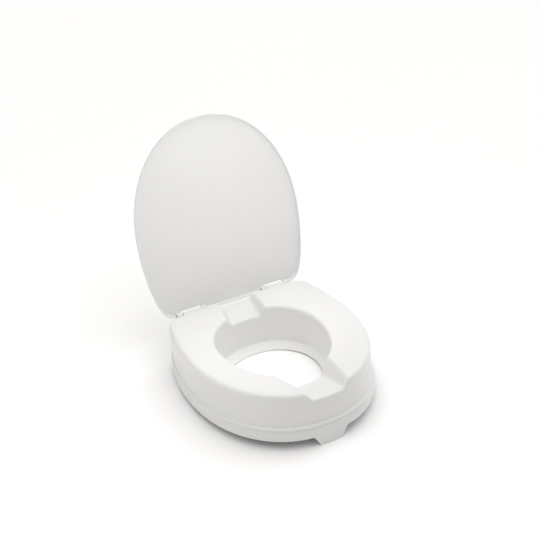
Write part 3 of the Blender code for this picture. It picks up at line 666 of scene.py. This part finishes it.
def make_seat(look):
    work = bmesh.new()
    loft(work, outside_rings() + top_rings() + splash_rings(), closed=True)
    seat = object_from("seat_moulding", work, SEAT_PLACE)
    roof, tools = POCKET_ROOF + POCKET_WALL, []
    past_in, past_out, beside = HEAD_ROOM
    head_room = box_outline(BOLT_REACH - SLIDE_IN - past_in, BOLT_REACH + SLIDE_OUT + past_out,
                            -beside, beside, 0.0020)
    for side in (1, -1):
        place = clamp_place(side)
        keyhole = straight_cutter(keyhole_outline(), POCKET_ROOF - CUT, roof + CUT, place)
        room = straight_cutter(head_room, roof, roof + beside, place)
        tools += [(pocket_cutter(side), 'DIFFERENCE'), (keyhole, 'DIFFERENCE'), (room, 'DIFFERENCE')]
    bores = []
    for low, high in (KNUCKLE_X, (-KNUCKLE_X[1], -KNUCKLE_X[0])):
        tools.append((across(knuckle_outline(), low, high, SEAT_PLACE, SMALL_EDGE), 'UNION'))
        bore = circle(PIN_RADIUS + GAP, (HINGE_Y, HINGE_Z))
        bores.append((across(bore, low - CUT, high + CUT, SEAT_PLACE), 'DIFFERENCE'))
    combine(seat, tools + bores)
    nodes = ("seat_shell", "rim_band", "splash_guard")
    return finish_piece(seat, look, "seat", nodes)


# ---------------------------------------------------------------- lid
def lid_ring(inset, z):
    """The lid lies closed here, with the hinge axis at the origin."""
    points = stations(oval(LID_HALF_WIDTH - inset, LID_LENGTH - LID_WIDEST - inset,
                           LID_WIDEST + LID_TAIL - inset, -LID_WIDEST, back_power=REAR_POWER,
                           taper=LID_TAPER))
    return np.column_stack([points, np.full(len(points), z)])


def ear_outline():
    """A round eye on the axis and its root in the lid's panel, in Y and Z."""
    root_z = LID_INNER + 0.0010
    return arc((0.0, 0.0), EAR_RADIUS, 0, -180, 20) + [(-EAR_RADIUS, root_z), (EAR_RADIUS, root_z)]


def make_lid(look):
    top, foot = LID_INNER + LID_THICKNESS, LID_INNER - LID_LIP
    run = rounded([(0.0400, LID_INNER, 0.0), (LID_LIP_WIDTH + 0.0006, LID_INNER, 0.0022),
                   (LID_LIP_WIDTH - 0.0002, foot, 0.0010), (0.0, foot, 0.0010), (0.0, top, 0.0026),
                   (0.0400, top, 0.0)])
    work = bmesh.new()
    loft(work, [lid_ring(p.x, p.y) for p in run])
    lid = object_from("lid_panel", work, LID_PLACE)
    ears, bores, notches = [], [], []
    for side in (1, -1):
        low, high = sorted((side * INNER_EAR_X[1], side * OUTER_EAR_X[0]))
        notches.append((across(box_outline(*NOTCH, 0.0010), low, high, LID_PLACE), 'DIFFERENCE'))
        for ear in (INNER_EAR_X, OUTER_EAR_X):
            low, high = sorted((side * ear[0], side * ear[1]))
            ears.append((across(ear_outline(), low, high, LID_PLACE, SMALL_EDGE), 'UNION'))
            bore = across(circle(PIN_RADIUS + GAP), low - CUT, high + CUT, LID_PLACE)
            bores.append((bore, 'DIFFERENCE'))
    combine(lid, notches + ears + bores)
    return finish_piece(lid, look, "lid", ("lid",))


def make_pin(side, label, look):
    """A plain headless pin with rounded ends, through both ears and the barrel between them."""
    low, high = INNER_EAR_X[0] + 0.0005, OUTER_EAR_X[1] - 0.0005
    turns = [math.radians(angle) for angle in range(0, 91, 30)]
    ends = [(SMALL_EDGE * (1 - math.sin(turn)), SMALL_EDGE * (1 - math.cos(turn))) for turn in turns]
    run = [(low + step, PIN_RADIUS - cut) for step, cut in ends]
    run += [(high - step, PIN_RADIUS - cut) for step, cut in reversed(ends)]
    work = bmesh.new()
    loft(work, [[(side * x, y, z) for y, z in circle(radius, (HINGE_Y, HINGE_Z))]
                for x, radius in sorted(run)])
    pin = object_from("pin_" + label, work, SEAT_PLACE)
    return finish_piece(pin, look, "seat", ("hinge_pin_" + label,))


# ---------------------------------------------------------------- clamps
def sideways(outline, half, round_ends):
    """A prism along local Y whose outline is given in X and Z, with rounded long edges."""
    work = bmesh.new()
    loft(work, [[(x, y, z) for x, z in outline] for y in (half, -half)])
    bevel_ends(work, round_ends)
    return work


def bracket_outline():
    """The L-shaped arm: a leg under the pocket's roof, a long leg down, and a toe that turns out."""
    top, plate, foot = POCKET_ROOF - GAP, BRACKET_PLATE, BRACKET_FOOT
    outer_line = rounded([(BRACKET_BACK, top - 0.5 * plate, 0.0), (BRACKET_BACK, top, 0.0008),
                          (LEG_REACH, top, 0.0060), (LEG_REACH, foot, 0.0060), (TOE_REACH, foot, 0.0010),
                          (TOE_REACH, foot + plate, 0.0012), (LEG_REACH + plate, foot + plate, 0.0022),
                          (LEG_REACH + plate, top - plate, 0.0022), (BRACKET_BACK, top - plate, 0.0008),
                          (BRACKET_BACK, top - 0.5 * plate, 0.0)])
    return [(p.x, p.y) for p in outer_line[:-1]]


def make_bracket(side, label, look):
    place = clamp_place(side)
    work = sideways(bracket_outline(), BRACKET_HALF, BRACKET_EDGE)
    bracket = object_from("bracket_" + label, work, place)
    top = POCKET_ROOF - GAP
    hole = circle(BOLT_RADIUS + GAP, (BOLT_REACH, 0.0))
    bore = straight_cutter(hole, top - BRACKET_PLATE - CUT, top + CUT, place)
    combine(bracket, [(bore, 'DIFFERENCE')])
    node = "clamp_bracket_" + label
    return finish_piece(bracket, look, "clamp_" + label, (node,))


def make_bracket_pad(side, label, look):
    """A rubber strip with a row of ribs that grip the inside of the bowl's rim."""
    low_x = LEG_REACH + BRACKET_PLATE + GAP
    face, valley = low_x + PAD_THICKNESS, low_x + PAD_THICKNESS - 0.0009
    low_z, high_z = BRACKET_FOOT + BRACKET_PLATE + 0.003, 0.0440
    corners = [(low_x, low_z + 0.001, 0.0), (low_x, low_z, 0.0004), (face, low_z, 0.0007)]
    ribs = 8
    pitch = (high_z - low_z) / ribs
    for rib in range(1, ribs):
        z = low_z + rib * pitch
        corners += [(face, z - 0.28 * pitch, 0.0004), (valley, z - 0.12 * pitch, 0.0003),
                    (valley, z + 0.12 * pitch, 0.0003), (face, z + 0.28 * pitch, 0.0004)]
    corners += [(face, high_z, 0.0007), (low_x, high_z, 0.0004), (low_x, low_z + 0.001, 0.0)]
    outline = [(p.x, p.y) for p in rounded(corners)[:-1]]
    work = sideways(outline, BRACKET_HALF - 0.001, SMALL_EDGE)
    pad = object_from("grip_pad_" + label, work, clamp_place(side))
    return finish_piece(pad, look, "clamp_" + label, ("bracket_pad_" + label,))


def turned(run, closed=False):
    """A solid of revolution about the bolt, from (radius, z) pairs."""
    work = bmesh.new()
    loft(work, [[(BOLT_REACH + x, y, z) for x, y in circle(radius)] for radius, z in run], closed)
    return work


def make_bolt(side, label, look):
    """A round-headed bolt with a rolled thread below the bracket's plate."""
    seat = POCKET_ROOF + POCKET_WALL + GAP
    run = [(0.0010, BOLT_END), (BOLT_RADIUS - 0.0009, BOLT_END), (BOLT_RADIUS - 0.0003, BOLT_END + 0.0006)]
    z = BOLT_END + BOLT_PITCH
    while z < WASHER_TOP:
        run += [(BOLT_RADIUS, z), (BOLT_RADIUS - BOLT_THREAD, z + 0.5 * BOLT_PITCH)]
        z += BOLT_PITCH
    run += [(BOLT_RADIUS, z), (BOLT_RADIUS, seat)]
    rim, crown, rim_z, crown_z = BOLT_HEAD
    dome = rounded([(BOLT_RADIUS, seat, 0.0), (rim, seat, 0.0004), (rim, seat + rim_z, 0.0008),
                    (crown, seat + crown_z, 0.0010), (0.0, seat + crown_z, 0.0)])
    run += [(p.x, p.y) for p in dome[1:-1]]
    bolt = object_from("bolt_" + label, turned(run), clamp_place(side))
    return finish_piece(bolt, look, "clamp_" + label, ("clamp_bolt_" + label,))


def make_washer(side, label, look):
    low, top, hole, rim = WASHER_TOP - WASHER_THICKNESS, WASHER_TOP, BOLT_RADIUS + GAP, WASHER_RADIUS
    soft = 0.25 * WASHER_THICKNESS
    run = [(hole, low + soft), (hole + soft, low), (rim - soft, low), (rim, low + soft),
           (rim, top - soft), (rim - soft, top), (hole + soft, top), (hole, top - soft)]
    washer = object_from("washer_" + label, turned(run, closed=True), clamp_place(side))
    return finish_piece(washer, look, "clamp_" + label, ("clamp_washer_" + label,))


def make_wing_nut(side, label, look):
    low, place, hole = NUT_TOP - NUT_HEIGHT, clamp_place(side), BOLT_RADIUS + GAP
    foot, waist, crown = NUT_RADII
    hub = rounded([(hole, low + 0.0020, 0.0), (hole, low, 0.0002), (foot, low, 0.0006),
                   (waist, low + 0.0012, 0.0010), (crown, NUT_TOP - 0.0014, 0.0008),
                   (crown, NUT_TOP, 0.0004), (hole, NUT_TOP, 0.0002), (hole, NUT_TOP - 0.0020, 0.0)])
    nut = object_from("thumb_nut_" + label, turned([(p.x, p.y) for p in hub], closed=True), place)
    wing = rounded([(WING_ROOT, NUT_TOP - 0.0030, 0.0)]
                   + [(x, low + z, radius) for x, z, radius in WING_CORNERS]
                   + [(WING_ROOT, NUT_TOP - 0.0030, 0.0)])
    tools = []
    for way in (1, -1):
        work = bmesh.new()
        loft(work, [[(BOLT_REACH + way * p.x, y, p.y) for p in wing[:-1]]
                    for y in (WING_HALF, -WING_HALF)])
        bevel_ends(work, 0.5 * WING_HALF)
        tools.append((object_from("tool_wing", work, place), 'UNION'))
    combine(nut, tools)
    return finish_piece(nut, look, "wing_nut_" + label, ("wing_nut_" + label,))


# ---------------------------------------------------------------- rim pads
def make_rim_pad(side, name, run, look):
    """A curved soft strip with rounded edges, stuck under the shelf."""
    near, far = side_run(outer_shape(RIM_PAD_INSET[0])), side_run(outer_shape(RIM_PAD_INSET[1]))
    top, width = SHELF_Z - GAP, RIM_PAD_INSET[1] - RIM_PAD_INSET[0]
    section = box_outline(0.0, width, -RIM_PAD_THICKNESS, 0.0, 0.0007, 3)
    steps, rings = 30, []
    for step in range(steps + 1):
        share = run[0] + (run[1] - run[0]) * step / steps
        ends = []
        for x, y, length in (near, far):
            reach = share * length[-1]
            ends.append(Vector((np.interp(reach, length, x), np.interp(reach, length, y))))
        tight = 0.93 if step in (0, steps) else 1.0
        ring = []
        for across_pad, z in section:
            place = ends[0].lerp(ends[1], 0.5 + (across_pad / width - 0.5) * tight)
            ring.append((side * place.x, place.y, top + z * tight))
        rings.append(ring)
    work = bmesh.new()
    loft(work, rings)
    pad = object_from("foam_" + name, work, SEAT_PLACE)
    return finish_piece(pad, look, "seat", (name,))


# ---------------------------------------------------------------- studio
def make_floor():
    made = Nodes("floor_paint")
    patches = made.ramp(made.noise(1.5, 2.0), 0.3, 0.7)
    made.set(made.shader, "Base Color", made.blend(patches, *FLOOR_COLORS))
    made.set(made.shader, "Roughness", 0.9)
    made.set(made.shader, "Specular IOR Level", 0.1)
    work = bmesh.new()
    corners = [(-FLOOR_HALF, -FLOOR_HALF), (FLOOR_HALF, -FLOOR_HALF), (FLOOR_HALF, FLOOR_HALF),
               (-FLOOR_HALF, FLOOR_HALF)]
    work.faces.new([work.verts.new((x, y, 0.0)) for x, y in corners])
    lug_tip = Vector((0.0, SEAT_WIDEST_Y - SEAT_FRONT - MIDDLE_Y, -0.0002))
    floor = object_from("floor", work, Matrix.Translation(lug_tip) @ Matrix.Rotation(FLOOR_PITCH, 4, 'X'))
    floor.data.materials.append(made.material)


def make_backdrop():
    """A white room wall far behind the floor: the camera sees it, and it neither lights nor shades."""
    made = Nodes("backdrop_paint")
    made.set(made.shader, "Base Color", (0.0, 0.0, 0.0, 1.0))
    made.set(made.shader, "Emission Color", BACKDROP_COLOR)
    made.set(made.shader, "Emission Strength", 1.0)
    made.set(made.shader, "Specular IOR Level", 0.0)
    work = bmesh.new()
    loft(work, [[(x, y, z) for x, y in circle(BACKDROP_RADIUS)] for z in (-BACKDROP_HEIGHT, BACKDROP_HEIGHT)])
    backdrop = object_from("backdrop", work)
    backdrop.data.materials.append(made.material)
    for ray in ("diffuse", "glossy", "transmission", "volume_scatter", "shadow"):
        setattr(backdrop, "visible_" + ray, False)


def add_sun(name, azimuth, elevation, strength, spread, color):
    """A soft far light: azimuth 0 shines from the front, 90 from the right."""
    data = bpy.data.lights.new(name, 'SUN')
    data.energy = strength
    data.angle = math.radians(spread)
    data.color = color
    made = bpy.data.objects.new(name, data)
    bpy.context.scene.collection.objects.link(made)
    a, e = math.radians(azimuth), math.radians(elevation)
    towards = Vector((math.sin(a) * math.cos(e), -math.cos(a) * math.cos(e), math.sin(e)))
    made.rotation_euler = towards.to_track_quat('Z', 'Y').to_euler()
    made.location = towards * 3


def add_softbox(name, place, aim, size, power):
    """A soft light over the seat, aimed at the lid and the inside; the front of the wall faces away."""
    data = bpy.data.lights.new(name, 'AREA')
    data.shape = 'RECTANGLE'
    data.size, data.size_y = size
    data.energy = power
    made = bpy.data.objects.new(name, data)
    bpy.context.scene.collection.objects.link(made)
    made.rotation_euler = (Vector(place) - Vector(aim)).to_track_quat('Z', 'Y').to_euler()
    made.location = place
    made.visible_camera = False


def make_light():
    world = bpy.data.worlds.new("soft_room")
    world.use_nodes = True
    backdrop = world.node_tree.nodes["Background"]
    backdrop.inputs["Color"].default_value = ROOM_COLOR
    backdrop.inputs["Strength"].default_value = ROOM_STRENGTH
    bpy.context.scene.world = world
    for sun in SUNS:
        add_sun(*sun)
    add_softbox("inner_fill", *INNER_FILL)
    bpy.context.scene.view_settings.view_transform = 'Standard'


def make_camera():
    data = bpy.data.cameras.new("view")
    data.lens = VIEW_LENS
    data.sensor_width = VIEW_SENSOR
    camera = bpy.data.objects.new("view", data)
    bpy.context.scene.collection.objects.link(camera)
    a, e = VIEW_AZIMUTH, VIEW_ELEVATION
    ahead = Vector((math.sin(a) * math.cos(e), math.cos(a) * math.cos(e), -math.sin(e)))
    level = Vector((math.cos(a), -math.sin(a), 0.0))
    upright = level.cross(ahead)
    right = level * math.cos(VIEW_ROLL) + upright * math.sin(VIEW_ROLL)
    up = upright * math.cos(VIEW_ROLL) - level * math.sin(VIEW_ROLL)
    turn = Matrix((right, up, -ahead)).transposed().to_4x4()
    camera.matrix_world = Matrix.Translation(VIEW_TARGET - ahead * VIEW_DISTANCE) @ turn
    data.clip_end = 300.0
    bpy.context.scene.camera = camera


def main():
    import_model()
    make_seat(moulded_plastic("seat_white", SEAT_WHITE, 0.30))
    make_lid(moulded_plastic("lid_white", SEAT_WHITE, 0.28))
    pin_look = moulded_plastic("pin_white", PIN_WHITE, 0.35, 0.3)
    bracket_look = moulded_plastic("bracket_white", BRACKET_WHITE, 0.42, 0.6, 0.2)
    nut_look = moulded_plastic("nut_white", NUT_WHITE, 0.42, 0.6, 0.2)
    rubber = soft_rubber("grip_rubber", RUBBER_GREY, 1800.0, 0.00006)
    foam = soft_rubber("pad_foam", FOAM_GREY, 1100.0, 0.00012)
    steel = plated_steel("plated_steel", STEEL_GREY)
    for side, label in ((1, "right"), (-1, "left")):
        make_pin(side, label, pin_look)
        make_bracket(side, label, bracket_look)
        make_bracket_pad(side, label, rubber)
        make_bolt(side, label, steel)
        make_washer(side, label, steel)
        make_wing_nut(side, label, nut_look)
        make_rim_pad(side, "rim_pad_front_" + label, FRONT_PAD_RUN, foam)
        make_rim_pad(side, "rim_pad_rear_" + label, REAR_PAD_RUN, foam)
    make_floor()
    make_backdrop()
    make_light()
    make_camera()


main()
